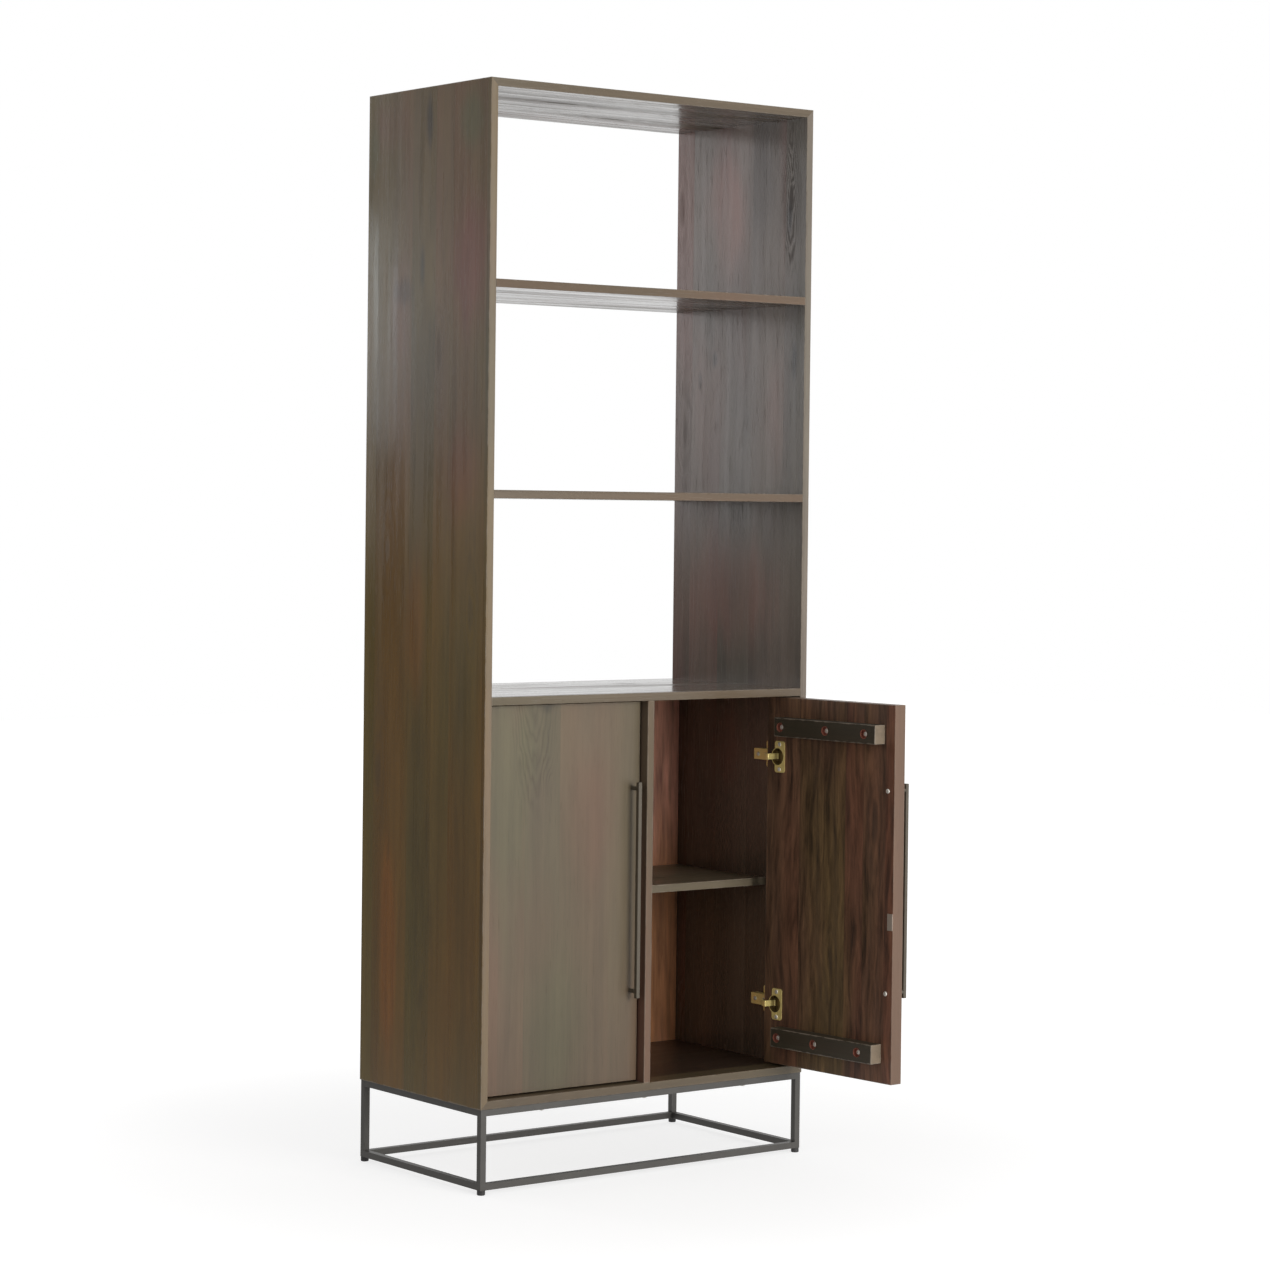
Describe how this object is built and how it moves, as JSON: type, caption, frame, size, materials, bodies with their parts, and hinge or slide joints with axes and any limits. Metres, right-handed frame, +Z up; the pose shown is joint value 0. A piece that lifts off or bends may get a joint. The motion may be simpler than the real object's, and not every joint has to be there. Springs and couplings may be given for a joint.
{
  "type": "wall unit",
  "caption": "Tall narrow wall unit of dark stained wood: open bays over a two-door cupboard, on a slim square-tube base.",
  "frame": {"origin": "on the floor, in the middle of the footprint of the closed unit", "axes": "+X to the right seen from the front, +Y to the rear, +Z up; the doors face -Y"},
  "size_m": [0.7721, 0.6895, 2],
  "materials": {
    "stained_wood": "dark stained reclaimed boards, satin",
    "raw_wood": "plain beech, unfinished",
    "frame_metal": "dark gunmetal paint, satin",
    "handle_metal": "dark bronze paint, satin",
    "hinge_brass": "brass plated",
    "screw_steel": "zinc plated",
    "strike_steel": "dull zinc",
    "catch_plastic": "dark brown moulded",
    "magnet": "dull grey ferrite",
    "foot_plastic": "black moulded"
  },
  "bodies": {
    "root": {"side_panel_left": "stained_wood", "side_panel_right": "stained_wood", "top_panel": "stained_wood", "bottom_panel": "stained_wood", "upper_shelf": "stained_wood", "middle_shelf": "stained_wood", "deck_panel": "stained_wood", "centre_divider": "stained_wood", "back_panel": "stained_wood", "inner_shelf_left": "stained_wood", "inner_shelf_right": "stained_wood", "mitre_tongues": "raw_wood", "dowels": "raw_wood", "leg_front_left": "frame_metal", "leg_front_right": "frame_metal", "leg_rear_left": "frame_metal", "leg_rear_right": "frame_metal", "upper_rail_front": "frame_metal", "upper_rail_rear": "frame_metal", "upper_rail_left": "frame_metal", "upper_rail_right": "frame_metal", "lower_rail_front": "frame_metal", "lower_rail_rear": "frame_metal", "lower_rail_left": "frame_metal", "lower_rail_right": "frame_metal", "hinge_plates": "hinge_brass", "hinge_arms": "hinge_brass", "base_screws": "screw_steel", "hinge_plate_screws": "screw_steel", "hinge_arm_screws": "screw_steel", "catch_screws": "screw_steel", "shelf_pins": "screw_steel", "catch_bodies": "catch_plastic", "catch_magnets": "magnet", "leg_plugs": "foot_plastic"},
    "left_door": {"door_panel_left": "stained_wood", "door_batten_lower_left": "stained_wood", "door_batten_upper_left": "stained_wood", "batten_screws_left": "screw_steel", "handle_bar_left": "handle_metal", "handle_posts_left": "handle_metal", "handle_screws_left": "screw_steel", "hinge_cups_left": "hinge_brass", "hinge_cup_screws_left": "screw_steel", "strike_plate_left": "strike_steel"},
    "right_door": {"door_panel_right": "stained_wood", "door_batten_lower_right": "stained_wood", "door_batten_upper_right": "stained_wood", "batten_screws_right": "screw_steel", "handle_bar_right": "handle_metal", "handle_posts_right": "handle_metal", "handle_screws_right": "screw_steel", "hinge_cups_right": "hinge_brass", "hinge_cup_screws_right": "screw_steel", "strike_plate_right": "strike_steel"},
    "levelling_foot_front_left": {"foot_front_left": "foot_plastic"},
    "levelling_foot_front_right": {"foot_front_right": "foot_plastic"},
    "levelling_foot_rear_left": {"foot_rear_left": "foot_plastic"},
    "levelling_foot_rear_right": {"foot_rear_right": "foot_plastic"}
  },
  "joints": [
    {"name": "left_door_swing", "type": "hinge", "parent": "root", "child": "left_door", "pos_m": [-0.335, -0.1645, 0.5245], "axis": [0, 0, -1], "range_deg": [0, 96]},
    {"name": "right_door_swing", "type": "hinge", "parent": "root", "child": "right_door", "pos_m": [0.335, -0.1645, 0.5245], "axis": [0, 0, 1], "range_deg": [-94, 2]},
    {"name": "foot_front_left_turn", "type": "hinge", "parent": "root", "child": "levelling_foot_front_left", "pos_m": [-0.367, -0.192, 0.0085], "axis": [0, 0, 1], "continuous": true},
    {"name": "foot_front_right_turn", "type": "hinge", "parent": "root", "child": "levelling_foot_front_right", "pos_m": [0.367, -0.192, 0.0085], "axis": [0, 0, 1], "continuous": true},
    {"name": "foot_rear_left_turn", "type": "hinge", "parent": "root", "child": "levelling_foot_rear_left", "pos_m": [-0.367, 0.192, 0.0085], "axis": [0, 0, 1], "continuous": true},
    {"name": "foot_rear_right_turn", "type": "hinge", "parent": "root", "child": "levelling_foot_rear_right", "pos_m": [0.367, 0.192, 0.0085], "axis": [0, 0, 1], "continuous": true}
  ]
}
